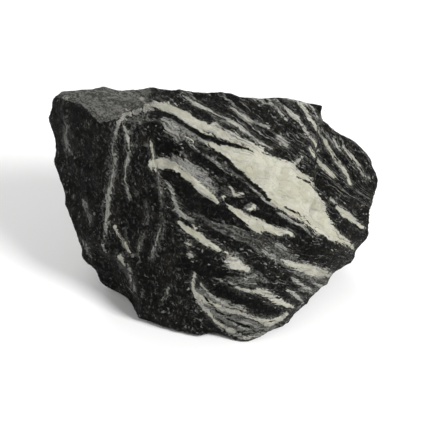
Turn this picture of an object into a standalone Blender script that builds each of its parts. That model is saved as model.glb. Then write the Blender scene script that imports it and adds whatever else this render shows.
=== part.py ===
"""Aquascaping rock: one angular block of banded black and white stone, broken on every side.

The block is a set of flat break faces. Its shape is worked out as a distance from a point deep
inside the stone: along each direction that distance is the nearest of the break faces, less the
ledge and scoops broken out of them, plus flake scars, the ridges of the stone's layers and low
lumps. A cube of fine quads is pushed out to that distance, its underside is cut off flat where
the stone rests, and the flatter stretches are then thinned to fewer faces.

Lengths are in millimetres until the mesh is made. +X runs to the right along the longest side,
+Y to the back and +Z up, with the origin on the resting plane under the middle of the stone.
"""

import bmesh
import bpy
import numpy as np
from mathutils import Vector

MM = 0.001

# Size of the block between its outermost corners
LENGTH = 164.0
DEPTH = 113.0
HEIGHT = 106.0

# Corners where the break faces meet, as (x, y, z)
CREST_LEFT = [(-79, 24, 91), (-75, 25, 93.5), (-49, 20, 100), (-33, 12, 95)]
CREST_RIGHT = [(-7, 6, 107), (21, 12, 98), (51, 20, 90)]
TOP_HINGE = [(-70, 10, 95), (-55, -12, 96), (-41, -11, 102), (-30, -7, 99.5)]
LEFT_END = [(-81, 22, 83), (-81, 14, 61), (-75.5, 5, 44), (-61, -12, 20), (-60, -27, 5)]
LEFT_FACE_BREAK = [(-53, -24, 51), (-45, -35, 15)]
FRONT_RIDGE = [(-30, -20, 103), (-27, -31, 75), (-18, -41, 43), (-13, -51, 20)]
SHOULDER = [(9, -18, 97), (41, -13, 78), (63, -6, 50)]
FRONT_TOE = [(12, -57, 23), (34, -48, 24)]
RIGHT_END = [(70, 18, 72), (79, 15, 60), (82, 10, 49), (82, 4, 31), (73, -2, 10)]
BACK = [(-64, 40, 70), (-22, 42, 80), (36, 44, 70), (66, 38, 48), (2, 56, 52)]
BACK_FOOT = [(52, 42, 14), (-8, 52, 16), (-52, 40, 22)]
UNDERSIDE_FRONT = [(-14, -50, 1), (23, -54, 1), (38, -37, 3), (56, -17, 6)]
UNDERSIDE_BACK = [(54, 10, 9), (28, 36, 8), (-30, 36, 9), (-50, 18, 8), (-41, -32, 2)]
RESTING_FRONT = [(-14, -42, 0), (20, -48, 0), (34, -30, 0), (42, -4, 0)]
RESTING_BACK = [(24, 20, 0), (-18, 24, 0), (-36, 6, 0)]

# The point inside the stone that every distance is measured from
HEART = np.array([0.0, -2.0, 48.0])

# How far the edges between break faces are worn round, and the angle below which two faces are one
EDGE_WEAR = 0.35
SAME_FACE_ANGLE = np.radians(7.0)

# A face whose normal points down by more than this is the resting spot
RESTING_FACE_DOWN = -0.998

# Small flat chips knocked off round the rim of every break face: how many on each, how far they
# tilt from the face, and how deep they reach
CHIPS_PER_FACE = 3
CHIP_TILT = 0.2
CHIP_DEPTHS = (0.2, 1.0)
CHIP_SEED = 11

# The step at the upper right, where a slab came off: a point on its inner corner, and the ways
# that its wall and its tread face
STEP_CORNER = (53, 14, 70)
STEP_WALL = (0.98, -0.20, 0.10)
STEP_TREAD = (0.30, -0.50, 0.78)

# Scoops, each a ball of stone flaked off: a point near the surface, the ball's radius, its depth
SCOOPS = [
    {"name": "hollow under the hinge", "at": (-22, -30, 86), "radius": 24, "depth": 1.0},
    {"name": "right face, low", "at": (30, -34, 46), "radius": 34, "depth": 1.8},
    {"name": "left face, low", "at": (-44, -32, 26), "radius": 40, "depth": 1.6},
    {"name": "left end, low", "at": (-66, -10, 30), "radius": 40, "depth": 1.7},
    {"name": "top, left", "at": (-26, 16, 103), "radius": 40, "depth": 3.2},
    {"name": "top, right", "at": (20, -2, 99), "radius": 36, "depth": 1.6},
    {"name": "right end", "at": (78, 18, 30), "radius": 46, "depth": 2.6},
    {"name": "back right", "at": (60, 42, 34), "radius": 50, "depth": 2.4},
    {"name": "back, high", "at": (14, 46, 78), "radius": 60, "depth": 2.2},
    {"name": "back, middle", "at": (-34, 46, 44), "radius": 60, "depth": 2.6},
    {"name": "back left", "at": (-66, 32, 40), "radius": 40, "depth": 2.4},
]

# The layers in the stone rise to the left, by so much for each millimetre, and lean back
LAYER_RISE = 0.67
LAYER_LEAN = np.radians(35.0)

# Shallow flake scars meeting in crisp ridges: how many, how hollow each is (a larger radius is
# flatter), how far their floors differ in height and tilt, how much closer together they lie
# across the layers than along them, and the highest that a ridge between them stands
SCAR_COUNT = 130
SCAR_RADIUS = 70.0
SCAR_STEP = 0.7
SCAR_TILT = 0.07
SCAR_STRETCH = 3.0
SCAR_REACH = 2.4
SCAR_SEED = 5

# The ridges that the layers leave where they weather out: their spacing and height
RIDGE_SPACING = 13.0
RIDGE_HEIGHT = 1.3
RIDGE_BREAK = 0.8

# Low lumps all over: the size of the largest, its height, and how many sizes there are
LUMP_SIZE = 30.0
LUMP_HEIGHT = 1.1
LUMP_SIZES = 3
LUMP_SEED = 4

# The mesh: quads along each edge of the cube, how far each point is then eased towards its
# neighbours, how near the resting plane a point snaps to it, and the triangles left after thinning
QUADS_PER_EDGE = 72
EASING = 0.5
RESTING_BAND = 0.3
TRIANGLES = 9000


def clear_scene():
    for item in list(bpy.data.objects):
        bpy.data.objects.remove(item, do_unlink=True)


def collection(name):
    group = bpy.data.collections.new(name)
    bpy.context.scene.collection.children.link(group)
    return group


def stone_material():
    """Plain dark grey, the colour of the stone from a step away."""
    material = bpy.data.materials.new("banded_stone")
    material.use_nodes = True
    shader = material.node_tree.nodes["Principled BSDF"]
    shader.inputs["Base Color"].default_value = (0.13, 0.13, 0.122, 1.0)
    shader.inputs["Roughness"].default_value = 0.72
    shader.inputs["Metallic"].default_value = 0.0
    return material


def unit(vectors):
    return vectors / np.linalg.norm(vectors, axis=-1, keepdims=True)


def all_corners():
    upper = CREST_LEFT + CREST_RIGHT + TOP_HINGE + LEFT_END + LEFT_FACE_BREAK + FRONT_RIDGE + SHOULDER
    lower = FRONT_TOE + RIGHT_END + BACK + BACK_FOOT
    under = UNDERSIDE_FRONT + UNDERSIDE_BACK + RESTING_FRONT + RESTING_BACK
    return np.array(upper + lower + under, dtype=float)


def break_faces(corners):
    """Outward normals of the flat faces around the corners, and their distances from the heart."""
    mesh = bmesh.new()
    for corner in corners:
        mesh.verts.new(Vector(corner - HEART))
    hull = bmesh.ops.convex_hull(mesh, input=mesh.verts)
    bmesh.ops.delete(mesh, geom=hull["geom_interior"], context="VERTS")
    bmesh.ops.dissolve_limit(mesh, angle_limit=SAME_FACE_ANGLE, verts=mesh.verts, edges=mesh.edges)
    bmesh.ops.recalc_face_normals(mesh, faces=mesh.faces)
    mesh.normal_update()
    sides = [face for face in mesh.faces if face.normal.z > RESTING_FACE_DOWN]
    normals = np.array([face.normal for face in sides])
    middles = np.array([face.calc_center_median() for face in sides])
    mesh.free()
    return normals, np.sum(normals * middles, axis=1)


def chips(corners, faces):
    """Each chip is a break face tilted at random, set a little inside the corner that it leans on."""
    random = np.random.default_rng(CHIP_SEED)
    normals = np.repeat(faces, CHIPS_PER_FACE, axis=0)
    normals = unit(normals + random.normal(scale=CHIP_TILT, size=normals.shape))
    reach = np.max((corners - HEART) @ normals.T, axis=0)
    return normals, reach - random.uniform(*CHIP_DEPTHS, size=len(normals))


def distance_to_planes(directions, normals, distances):
    """Distance along each direction to each plane, very large where the direction turns away."""
    facing = directions @ normals.T
    return np.where(facing > 1e-3, distances / np.maximum(facing, 1e-3), 1e3)


def nearest_worn(lengths):
    """The least of the lengths, a little less where two are nearly equal: that wears the edges."""
    least = lengths.min(axis=1, keepdims=True)
    return least[:, 0] - EDGE_WEAR * np.log(np.exp((least - lengths) / EDGE_WEAR).sum(axis=1))


class Stone:
    """The stone's outline as a distance from its heart in any direction."""

    def __init__(self):
        corners = all_corners()
        faces, face_distances = break_faces(corners)
        chip_faces, chip_distances = chips(corners, faces)
        self.normals = np.vstack([faces, chip_faces])
        self.distances = np.concatenate([face_distances, chip_distances])
        self.scars = self.scar_middles()

    def block(self, directions):
        """The break faces and chips, with the step cut out where a point is beyond both its sides."""
        radius = nearest_worn(distance_to_planes(directions, self.normals, self.distances))
        corner = np.array(STEP_CORNER) - HEART
        sides = unit(np.array([STEP_WALL, STEP_TREAD]))
        step = distance_to_planes(directions, sides, sides @ corner)
        return np.minimum(radius, step.max(axis=1))

    def scooped(self, directions):
        """The block less each ball: a direction meets the ball at m - sqrt(m^2 - c^2 + r^2)."""
        radius = self.block(directions)
        for scoop in SCOOPS:
            towards = unit(np.array(scoop["at"]) - HEART)
            surface = self.block(towards[None, :])[0]
            centre = towards * (surface + scoop["radius"] - scoop["depth"])
            middle = directions @ centre
            inside = middle**2 - centre @ centre + scoop["radius"] ** 2
            entry = middle - np.sqrt(np.maximum(inside, 0.0))
            radius = np.where((inside > 0) & (middle > 0), np.minimum(radius, entry), radius)
        return radius

    def scar_middles(self):
        """Points spread evenly over the stone by turning through the golden angle, then scattered."""
        random = np.random.default_rng(SCAR_SEED)
        count = np.arange(SCAR_COUNT) + 0.5
        height = 1 - 2 * count / SCAR_COUNT
        turn = count * np.pi * (3 - np.sqrt(5))
        ring = np.sqrt(1 - height**2)
        ball = np.stack([ring * np.cos(turn), ring * np.sin(turn), height], axis=1)
        ball += random.normal(scale=0.08, size=ball.shape)
        directions = unit(ball * np.array([LENGTH, DEPTH, HEIGHT]))
        return HEART + directions * self.scooped(directions)[:, None]

    def surface(self, directions):
        """The scooped block with its relief, cut off level where it would reach under the ground."""
        radius = self.scooped(directions)
        points = HEART + directions * radius[:, None]
        radius = radius + flake_scars(points, self.scars) + layer_ridges(points) + lumps(points)
        down = np.maximum(-directions[:, 2], 1e-3)
        radius = np.minimum(radius, HEART[2] / down)
        return HEART + directions * radius[:, None]


def smooth_noise(points, seed):
    """Random heights on a whole-number lattice, blended smoothly between: values from -1 to 1."""
    random = np.random.default_rng(seed)
    order = np.concatenate([random.permutation(256)] * 3)
    heights = random.uniform(-1, 1, 256)
    cell = np.floor(points).astype(int)
    part = points - cell
    blend = part**3 * (part * (part * 6 - 15) + 10)
    total = np.zeros(len(points))
    for corner in np.ndindex(2, 2, 2):
        x, y, z = ((cell + corner) & 255).T
        share = np.prod(np.where(corner, blend, 1 - blend), axis=1)
        total += share * heights[order[order[order[x] + y] + z]]
    return total


def lumps(points):
    """Noise of several sizes, each half the size and half the height of the one before."""
    total = np.zeros(len(points))
    for size in range(LUMP_SIZES):
        total += smooth_noise(points * 2**size / LUMP_SIZE, LUMP_SEED + size) / 2**size
    return total * LUMP_HEIGHT


def layer_normal():
    return unit(np.array([LAYER_RISE, np.sin(LAYER_LEAN), np.cos(LAYER_LEAN)]))


def flake_scars(points, middles):
    """The lowest of many tilted bowls, one to a scar: distance^2 / (2 radius) above its floor."""
    random = np.random.default_rng(SCAR_SEED)
    tilts = random.normal(scale=SCAR_TILT, size=(SCAR_COUNT, 3))
    floors = random.uniform(-SCAR_STEP, SCAR_STEP, SCAR_COUNT)
    lowest = np.full(len(points), SCAR_REACH)
    for middle, tilt, floor in zip(middles, tilts, floors):
        offset = points - middle
        spread = np.sum(offset**2, axis=1) + SCAR_STRETCH * (offset @ layer_normal()) ** 2
        lowest = np.minimum(lowest, floor + offset @ tilt + spread / (2 * SCAR_RADIUS))
    return lowest - 0.25 * SCAR_REACH


def layer_ridges(points):
    """Each layer rises slowly and breaks off sharply, as a saw tooth does, more in some places."""
    wander = 4.0 * smooth_noise(points / 35.0, LUMP_SEED + 7)
    step = (points @ layer_normal() + wander) / RIDGE_SPACING
    rise = step - np.floor(step)
    saw = np.where(rise < RIDGE_BREAK, rise / RIDGE_BREAK, (1 - rise) / (1 - RIDGE_BREAK)) - 0.5
    strength = np.clip(0.6 + 0.8 * smooth_noise(points / 24.0, LUMP_SEED + 8), 0, 1.2)
    return RIDGE_HEIGHT * saw * strength


def quad_cube():
    """A cube from -1 to 1, of even quads."""
    mesh = bmesh.new()
    bmesh.ops.create_cube(mesh, size=2.0)
    bmesh.ops.subdivide_edges(mesh, edges=mesh.edges, cuts=QUADS_PER_EDGE - 1, use_grid_fill=True)
    return mesh


def push_out(mesh):
    """Moves the cube's points to the stone's surface, spread evenly for the block's proportions."""
    cube = np.array([corner.co for corner in mesh.verts])
    directions = unit(np.tan(cube * np.pi / 4) * np.array([LENGTH, DEPTH, HEIGHT]))
    points = Stone().surface(directions)
    middle = 0.5 * (points.min(axis=0) + points.max(axis=0))
    middle[2] = 0.0
    for corner, point in zip(mesh.verts, (points - middle) * MM):
        corner.co = Vector(point)


def thin_out(rock):
    """Fewer faces where the stone is flat, kept as the object's own mesh."""
    thin = rock.modifiers.new("thin the flatter stretches", "DECIMATE")
    thin.ratio = TRIANGLES / (2 * len(rock.data.polygons))
    thin.use_collapse_triangulate = True
    view_layer = bpy.context.evaluated_depsgraph_get()
    rock.data = bpy.data.meshes.new_from_object(rock.evaluated_get(view_layer))
    rock.modifiers.clear()


def level_resting_spot(rock):
    """Points on or next to the resting plane lie exactly in it."""
    for corner in rock.data.vertices:
        if corner.co.z < RESTING_BAND * MM:
            corner.co.z = 0.0


def build_rock(group):
    mesh = quad_cube()
    push_out(mesh)
    bmesh.ops.smooth_vert(
        mesh, verts=mesh.verts, factor=EASING, use_axis_x=True, use_axis_y=True, use_axis_z=True
    )
    bmesh.ops.recalc_face_normals(mesh, faces=mesh.faces)
    data = bpy.data.meshes.new("rock")
    mesh.to_mesh(data)
    mesh.free()
    data.materials.append(stone_material())
    data.shade_smooth()
    rock = bpy.data.objects.new("rock", data)
    group.objects.link(rock)
    thin_out(rock)
    level_resting_spot(rock)
    return rock


def main():
    clear_scene()
    build_rock(collection("aquascaping_rock"))


main()
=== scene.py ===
import bmesh
import bpy
import numpy as np
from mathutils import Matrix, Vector


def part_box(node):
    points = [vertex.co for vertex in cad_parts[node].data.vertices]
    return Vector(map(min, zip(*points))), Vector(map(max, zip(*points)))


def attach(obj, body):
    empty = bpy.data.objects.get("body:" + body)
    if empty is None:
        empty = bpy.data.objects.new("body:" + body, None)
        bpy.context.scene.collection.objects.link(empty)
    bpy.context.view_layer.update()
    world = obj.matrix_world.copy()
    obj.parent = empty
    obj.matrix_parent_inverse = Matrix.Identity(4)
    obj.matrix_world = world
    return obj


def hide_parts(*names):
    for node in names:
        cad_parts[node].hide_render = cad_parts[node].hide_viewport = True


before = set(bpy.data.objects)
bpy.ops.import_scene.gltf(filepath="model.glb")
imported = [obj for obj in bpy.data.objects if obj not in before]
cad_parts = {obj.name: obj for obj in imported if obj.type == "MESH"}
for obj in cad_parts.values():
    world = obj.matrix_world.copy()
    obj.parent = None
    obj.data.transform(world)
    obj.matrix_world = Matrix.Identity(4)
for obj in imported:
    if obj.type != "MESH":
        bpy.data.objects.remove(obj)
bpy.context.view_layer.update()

# ---- The stone's form ----
# Lengths are in millimetres until the mesh is made. The block is a set of flat break faces round
# the corners below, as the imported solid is, with finer breaks on top of them. A noise is given as
# its height, the size of its coarsest lumps, how many sizes it has, and its seed.
form = {
    "size": (164.0, 113.0, 106.0),
    "corners": [
        (-79, 24, 91), (-75, 25, 93.5), (-49, 20, 100), (-33, 12, 95),  # crest
        (-7, 6, 107), (21, 12, 98), (51, 20, 90),
        (-70, 10, 95), (-55, -12, 96), (-41, -11, 102), (-30, -7, 99.5),  # hinge of the top
        (-81, 22, 83), (-81, 14, 61), (-75.5, 5, 44), (-61, -12, 20), (-60, -27, 5),  # left end
        (-53, -24, 51), (-45, -35, 15),  # middle of the left face
        (-30, -20, 103), (-27, -31, 75), (-18, -41, 43), (-13, -51, 20),  # front ridge
        (9, -18, 97), (41, -13, 78), (63, -6, 50),  # shoulder
        (12, -57, 23), (34, -48, 24),  # toe
        (70, 18, 72), (79, 15, 60), (82, 10, 49), (82, 4, 31), (73, -2, 10),  # right end
        (-64, 40, 70), (-22, 42, 80), (36, 44, 70), (66, 38, 48), (2, 56, 52),  # back
        (52, 42, 14), (-8, 52, 16), (-52, 40, 22),  # foot of the back
        (-14, -50, 1), (23, -54, 1), (38, -37, 3), (56, -17, 6),  # rim underneath
        (54, 10, 9), (28, 36, 8), (-30, 36, 9), (-50, 18, 8), (-41, -32, 2),
        (-14, -42, 0), (20, -48, 0), (34, -30, 0), (42, -4, 0),  # resting spot
        (24, 20, 0), (-18, 24, 0), (-36, 6, 0),
    ],
    "heart": (0.0, -2.0, 48.0),  # every distance is measured from here
    "edgeWear": 0.35,
    "sameFaceAngle": 7.0,  # degrees
    "restingFaceDown": -0.998,  # a normal's Z; the ground cuts the stone there
    "chips": {"perFace": 3, "tilt": 0.2, "depths": (0.2, 1.0), "seed": 11},
    "step": {"corner": (53, 14, 70), "wall": (0.98, -0.20, 0.10), "tread": (0.30, -0.50, 0.78)},
    "scoops": [  # a point near the surface, the ball's radius, its depth
        ((-22, -30, 86), 24, 1.0), ((30, -34, 46), 34, 1.8), ((-44, -32, 26), 40, 1.6),
        ((-66, -10, 30), 40, 1.7), ((-26, 16, 103), 40, 3.2), ((20, -2, 99), 36, 1.6),
        ((78, 18, 30), 46, 2.6), ((60, 42, 34), 50, 2.4), ((14, 46, 78), 60, 2.2),
        ((-34, 46, 44), 60, 2.6), ((-66, 32, 40), 40, 2.4),
    ],
    "layerRise": 0.67,
    "layerLean": 35.0,  # degrees
    "scarScatter": 0.08,  # of their directions from the heart
    "scars": {"count": 130, "radius": 70.0, "step": 0.7, "tilt": 0.07, "stretch": 3.0,
              "reach": 2.4, "seed": 5},
    "ridges": {"spacing": 13.0, "height": 1.3, "break": 0.8, "wander": (4.0, 35.0, 1, 11),
               "strength": 0.6, "most": 1.2, "change": (0.8, 24.0, 1, 12)},
    "lumps": (1.1, 30.0, 3, 4),
    # what only this piece has, down to the width of a quad
    "smallScars": {"count": 900, "radius": 60.0, "step": 0.3, "tilt": 0.05, "stretch": 1.0,
                   "reach": 1.2, "seed": 21},
    "thinLayers": {"spacing": 3.1, "leftSpacing": 3.72, "height": 0.30, "break": 0.75,
                   "wander": (0.5, 9.0, 1, 35), "strength": 0.45, "most": 1.3,
                   "change": (0.9, 13.0, 1, 36)},
    "grit": (0.24, 6.0, 3, 31),
    "nicks": (0.5, 3.2, 1, 41),
    "nickRounds": 3,  # of smoothing, before the sharp edges are found
    "proudVeins": {"height": 0.22, "hidesLayers": 0.75, "hidesGrit": 0.5},
    "quads": (164, 113, 109),  # along X, Y and Z
}

# ---- Where the marks are seen from ----
seen = {
    "aim": (0.0004, -0.0174, 0.050),
    "distance": 0.782,
    "rise": 35.0,  # degrees
    "lens": 135.0,
    "sensor": 36.0,
    "pixels": 713.5,  # picture pixels for each unit of slope from the camera's axis
    "middle": (156.0, 147.5),  # the pixel that the camera's axis meets
    "pixel": 1.096,  # millimetres on the stone
}


def unit(vectors):
    return vectors / np.linalg.norm(vectors, axis=-1, keepdims=True)


def smoothStep(value, low, high):
    # 0 below low, 1 above high, and 3 t^2 - 2 t^3 between
    part = np.clip((value - low) / (high - low), 0.0, 1.0)
    return part * part * (3 - 2 * part)


def smoothNoise(points, seed):
    # random heights on a whole-number lattice, blended between with 6 t^5 - 15 t^4 + 10 t^3
    random = np.random.default_rng(seed)
    order = np.concatenate([random.permutation(256)] * 3)
    heights = random.uniform(-1, 1, 256)
    cell = np.floor(points).astype(int)
    part = points - cell
    blend = part**3 * (part * (part * 6 - 15) + 10)
    total = np.zeros(len(points))
    for corner in np.ndindex(2, 2, 2):
        x, y, z = ((cell + corner) & 255).T
        share = np.prod(np.where(corner, blend, 1 - blend), axis=1)
        total += share * heights[order[order[order[x] + y] + z]]
    return total


def noiseField(points, noise):
    # noise of several sizes, each half the size and half the height of the one before
    height, size, sizes, seed = noise
    total = np.zeros(len(points))
    for level in range(sizes):
        total += smoothNoise(points * 2**level / size, seed + level) / 2**level
    return height * total


def breakFaces(corners, heart):
    # outward normals of the flat faces round the corners, and their distances from the heart
    mesh = bmesh.new()
    for corner in corners:
        mesh.verts.new(Vector(corner - heart))
    hull = bmesh.ops.convex_hull(mesh, input=mesh.verts)
    bmesh.ops.delete(mesh, geom=hull["geom_interior"], context="VERTS")
    bmesh.ops.dissolve_limit(mesh, angle_limit=np.radians(form["sameFaceAngle"]),
                             verts=mesh.verts, edges=mesh.edges)
    bmesh.ops.recalc_face_normals(mesh, faces=mesh.faces)
    mesh.normal_update()
    sides = [face for face in mesh.faces if face.normal.z > form["restingFaceDown"]]
    normals = np.array([face.normal for face in sides])
    middles = np.array([face.calc_center_median() for face in sides])
    mesh.free()
    return normals, np.sum(normals * middles, axis=1)


def addChips(corners, heart, faces):
    # each chip is a break face tilted at random, a little inside the corner that it leans on
    chips = form["chips"]
    random = np.random.default_rng(chips["seed"])
    normals = np.repeat(faces, chips["perFace"], axis=0)
    normals = unit(normals + random.normal(scale=chips["tilt"], size=normals.shape))
    reach = np.max((corners - heart) @ normals.T, axis=0)
    return normals, reach - random.uniform(*chips["depths"], size=len(normals))


def distanceToPlanes(directions, normals, distances):
    facing = directions @ normals.T
    return np.where(facing > 1e-3, distances / np.maximum(facing, 1e-3), 1e3)


def nearestWorn(lengths):
    # the least length, less wear * ln(sum of exp((least - length) / wear)), which rounds the edges
    wear = form["edgeWear"]
    least = lengths.min(axis=1, keepdims=True)
    return least[:, 0] - wear * np.log(np.exp((least - lengths) / wear).sum(axis=1))


def blockRadius(directions, planes, heart):
    # the nearest break face along each direction, or the step where that is nearer
    radius = nearestWorn(distanceToPlanes(directions, *planes))
    step = form["step"]
    sides = unit(np.array([step["wall"], step["tread"]]))
    cut = distanceToPlanes(directions, sides, sides @ (np.array(step["corner"]) - heart))
    return np.minimum(radius, cut.max(axis=1))


def scoopedRadius(directions, planes, heart):
    # the block less each ball: a direction meets the ball at m - sqrt(m^2 - c^2 + r^2)
    radius = blockRadius(directions, planes, heart)
    for place, ball, depth in form["scoops"]:
        towards = unit(np.array(place) - heart)
        surface = blockRadius(towards[None, :], planes, heart)[0]
        centre = towards * (surface + ball - depth)
        middle = directions @ centre
        inside = middle**2 - centre @ centre + ball**2
        entry = middle - np.sqrt(np.maximum(inside, 0.0))
        radius = np.where((inside > 0) & (middle > 0), np.minimum(radius, entry), radius)
    return radius


def scarMiddles(scars, planes, heart):
    # points spread over the stone by turning through the golden angle, then scattered
    random = np.random.default_rng(scars["seed"])
    count = np.arange(scars["count"]) + 0.5
    height = 1 - 2 * count / scars["count"]
    turn = count * np.pi * (3 - np.sqrt(5))
    ring = np.sqrt(1 - height**2)
    ball = np.stack([ring * np.cos(turn), ring * np.sin(turn), height], axis=1)
    ball += random.normal(scale=form["scarScatter"], size=ball.shape)
    directions = unit(ball * np.array(form["size"]))
    return heart + directions * scoopedRadius(directions, planes, heart)[:, None]


def layerNormal():
    lean = np.radians(form["layerLean"])
    return unit(np.array([form["layerRise"], np.sin(lean), np.cos(lean)]))


def flakeScars(points, scars, middles):
    # the lowest of many tilted bowls: distance^2 / (2 radius) above each one's own floor, less a
    # quarter of their reach, so that they lie about the surface
    random = np.random.default_rng(scars["seed"])
    tilts = random.normal(scale=scars["tilt"], size=(scars["count"], 3))
    floors = random.uniform(-scars["step"], scars["step"], scars["count"])
    lowest = np.full(len(points), scars["reach"])
    for middle, tilt, floor in zip(middles, tilts, floors):
        offset = points - middle
        spread = np.sum(offset**2, axis=1) + scars["stretch"] * (offset @ layerNormal()) ** 2
        lowest = np.minimum(lowest, floor + offset @ tilt + spread / (2 * scars["radius"]))
    return lowest - 0.25 * scars["reach"]


def sawTooth(step, breakAt):
    # rises slowly to breakAt, then falls back sharply: from -0.5 to 0.5
    rise = step - np.floor(step)
    return np.where(rise < breakAt, rise / breakAt, (1 - rise) / (1 - breakAt)) - 0.5


def patchyStrength(points, layers):
    # their strength plus a noise, from 0 to the most
    return np.clip(layers["strength"] + noiseField(points, layers["change"]), 0, layers["most"])


def layerRidges(points):
    ridges = form["ridges"]
    step = (points @ layerNormal() + noiseField(points, ridges["wander"])) / ridges["spacing"]
    return ridges["height"] * sawTooth(step, ridges["break"]) * patchyStrength(points, ridges)


def cubeGrid():
    # six sides of a cube, each a grid of two parameters from -1 to 1, joined along their edges
    counts = np.array(form["quads"])
    corners, faces, start = [], [], 0
    for axis in range(3):
        first, second = (axis + 1) % 3, (axis + 2) % 3
        for sign in (-1, 1):
            u, v = np.meshgrid(np.arange(counts[first] + 1), np.arange(counts[second] + 1),
                               indexing="ij")
            grid = np.zeros(u.shape + (3,), dtype=int)
            grid[..., first], grid[..., second] = u, v
            grid[..., axis] = counts[axis] if sign > 0 else 0
            number = start + np.arange(u.size).reshape(u.shape)
            quad = np.stack([number[:-1, :-1], number[1:, :-1], number[1:, 1:], number[:-1, 1:]],
                            axis=-1).reshape(-1, 4)
            corners.append(grid.reshape(-1, 3))
            faces.append(quad[:, ::sign])
            start += u.size
    corners, faces = np.concatenate(corners), np.concatenate(faces)
    key = corners @ np.array([1, 1000, 1000000])
    first, joined = np.unique(key, return_index=True, return_inverse=True)[1:]
    return 2 * corners[first] / counts - 1, joined.reshape(-1)[faces]


def coarseForm(cube):
    # direction = unit of (tan(cube * 45 degrees) * size), and the point is heart + direction *
    # radius. The small scars are kept apart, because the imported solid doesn't have them.
    heart = np.array(form["heart"])
    corners = np.array(form["corners"], dtype=float)
    faces, faceDistances = breakFaces(corners, heart)
    chips, chipDistances = addChips(corners, heart, faces)
    planes = np.vstack([faces, chips]), np.concatenate([faceDistances, chipDistances])
    scars, small = form["scars"], form["smallScars"]
    middles = scarMiddles(scars, planes, heart)
    smallMiddles = scarMiddles(small, planes, heart)
    directions = unit(np.tan(cube * np.pi / 4) * np.array(form["size"]))
    parts = []
    for part in np.array_split(directions, 8):
        radius = scoopedRadius(part, planes, heart)
        points = heart + part * radius[:, None]
        relief = flakeScars(points, scars, middles) + layerRidges(points)
        relief += noiseField(points, form["lumps"])
        parts.append(np.stack([radius + relief, flakeScars(points, small, smallMiddles)]))
    radius, smallRelief = np.concatenate(parts, axis=1)
    return directions, radius, smallRelief, heart


def pointNormals(points, faces):
    # the mean of the crossed diagonals of the quads round each point
    a, b, c, d = (points[faces[:, k]] for k in range(4))
    across = np.cross(c - a, d - b)
    total = np.stack([np.bincount(faces.ravel(), np.repeat(across[:, k], 4), len(points))
                      for k in range(3)], axis=1)
    return unit(total)


def neighbourMean(values, faces):
    # the mean over the two neighbours of a point in each of its quads
    total = np.zeros((len(values), values.shape[1]))
    for k in range(4):
        for side in (1, 3):
            other = values[faces[:, (k + side) % 4]]
            for column in range(values.shape[1]):
                total[:, column] += np.bincount(faces[:, k], other[:, column], len(values))
    return total / (2 * np.bincount(faces.ravel(), minlength=len(values)))[:, None]


def convexity(points, normals, faces, rounds):
    # how far a point stands above the mean of its neighbours, in mm, smoothed over some rounds
    height = np.sum((points - neighbourMean(points, faces)) * normals, axis=1)[:, None]
    for _ in range(rounds):
        height = 0.5 * height + 0.5 * neighbourMean(height, faces)
    return height[:, 0]


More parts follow.
